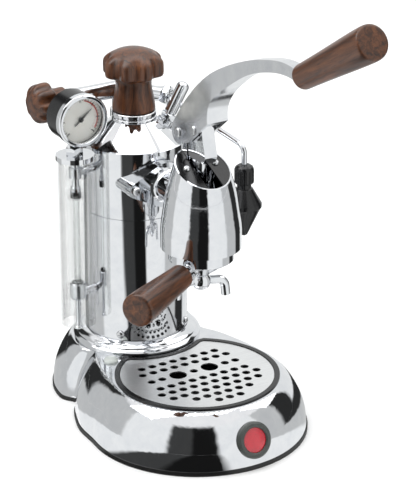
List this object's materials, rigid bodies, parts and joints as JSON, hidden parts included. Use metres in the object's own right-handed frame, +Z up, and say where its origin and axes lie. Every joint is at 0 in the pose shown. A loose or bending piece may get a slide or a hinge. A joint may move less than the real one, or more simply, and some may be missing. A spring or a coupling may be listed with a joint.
{
  "type": "espresso machine",
  "caption": "Upright lever espresso machine with a vertical boiler, a piston group under a long curved lever, a steam wand, a pressure gauge, a sight glass and a drip tray.",
  "frame": {"origin": "where the boiler's axis meets the surface the machine stands on", "axes": "+Z up along the boiler, -Y towards the front, where the group, the lever and the drip tray are"},
  "size_m": [0.2098, 0.4542, 0.4457],
  "materials": {
    "chrome": "polished chrome plate",
    "steel": "bright stainless steel",
    "zinc_plate": "zinc plated sheet",
    "brass": "machined",
    "wood": "turned and oiled dark hardwood",
    "rubber": "moulded",
    "black_plastic": "moulded black plastic",
    "red_enamel": "glossy enamel",
    "pilot_lens": "frosted moulded lens",
    "clear_glass": "clear",
    "dial_face": "matt printed face",
    "needle_black": "matt"
  },
  "bodies": {
    "machine": {"badge_disc": "red_enamel", "badge_ring": "black_plastic", "base_plate": "zinc_plate", "base_screws": "steel", "base_shell": "chrome", "base_trim": "rubber", "bell_cover": "black_plastic", "boiler_collar": "chrome", "boiler_nut": "steel", "boiler_shell": "chrome", "boiler_sleeve": "chrome", "cable_gland": "black_plastic", "cap_ring": "chrome", "cover_screws": "steel", "fulcrum_pin": "steel", "gauge_bezel": "chrome", "gauge_case": "black_plastic", "gauge_dial": "dial_face", "gauge_glass": "clear_glass", "group_bell": "chrome", "group_bolts": "steel", "group_casting": "chrome", "group_liner": "steel", "group_yoke": "chrome", "heating_element": "steel", "pilot_light": "pilot_lens", "portafilter_seal": "rubber", "safety_valve": "chrome", "shower_screen": "steel", "sight_flange": "chrome", "sight_glass": "clear_glass", "sight_lower_fitting": "chrome", "sight_seals": "rubber", "sight_shield": "clear_glass", "sight_upper_fitting": "chrome", "sleeve_screws": "steel", "steam_bar": "chrome", "switch_housing": "black_plastic", "wand_nut": "chrome"},
    "rocker": {"power_rocker": "black_plastic"},
    "tray": {"drip_tray": "black_plastic"},
    "grid": {"drip_grid": "steel"},
    "cap": {"cap_knob": "wood", "cap_plug": "steel"},
    "steam_valve": {"steam_knob": "wood", "steam_spindle": "steel"},
    "wand": {"steam_wand": "chrome", "frother_collar": "black_plastic", "frother_body": "black_plastic"},
    "needle": {"gauge_needle": "needle_black"},
    "lever": {"lever_arm": "chrome", "lever_grip": "wood", "rod_pin": "steel"},
    "piston": {"piston_rod": "chrome", "piston": "brass", "piston_seals": "rubber"},
    "portafilter": {"portafilter_body": "chrome", "filter_basket": "steel", "portafilter_handle": "wood", "spouts": "chrome"}
  },
  "joints": [
    {"name": "lever_hinge", "type": "hinge", "parent": "machine", "child": "lever", "pos_m": [0, -0.0956, 0.2818], "axis": [-1, 0, 0], "range_deg": [-58, 35]},
    {"name": "piston_slide", "type": "slide", "parent": "machine", "child": "piston", "axis": [0, 0, 1], "range_m": [-0.0246, 0.0149]},
    {"name": "portafilter_turn", "type": "hinge", "parent": "machine", "child": "portafilter", "pos_m": [0, -0.117, 0.178], "axis": [0, 0, 1], "range_deg": [0, 58]},
    {"name": "cap_turn", "type": "hinge", "parent": "machine", "child": "cap", "pos_m": [0, 0, 0.27], "axis": [0, 0, 1], "range_deg": [0, 1080]},
    {"name": "steam_valve_turn", "type": "hinge", "parent": "machine", "child": "steam_valve", "pos_m": [-0.05, 0.0295, 0.284], "axis": [-1, 0, 0], "range_deg": [0, 540]},
    {"name": "wand_swivel", "type": "hinge", "parent": "machine", "child": "wand", "pos_m": [0.0496, 0.029, 0.27], "axis": [0, 0, 1], "range_deg": [-4, 56]},
    {"name": "needle_turn", "type": "hinge", "parent": "machine", "child": "needle", "pos_m": [-0.066, -0.0215, 0.281], "axis": [0, -1, 0], "range_deg": [-85, 185]},
    {"name": "rocker_tilt", "type": "hinge", "parent": "machine", "child": "rocker", "pos_m": [0.03182, 0.06825, 0.021], "axis": [-0.9063, 0.4226, 0], "range_deg": [0, 16]},
    {"name": "tray_lift", "type": "slide", "parent": "machine", "child": "tray", "axis": [0, 0, 1], "range_m": [0, 0.03]},
    {"name": "grid_lift", "type": "slide", "parent": "tray", "child": "grid", "axis": [0, 0, 1], "range_m": [0, 0.03]}
  ],
  "couplings": [
    {"joint": "piston_slide", "follows": "lever_hinge", "m_per_rad": 0.0242}
  ]
}
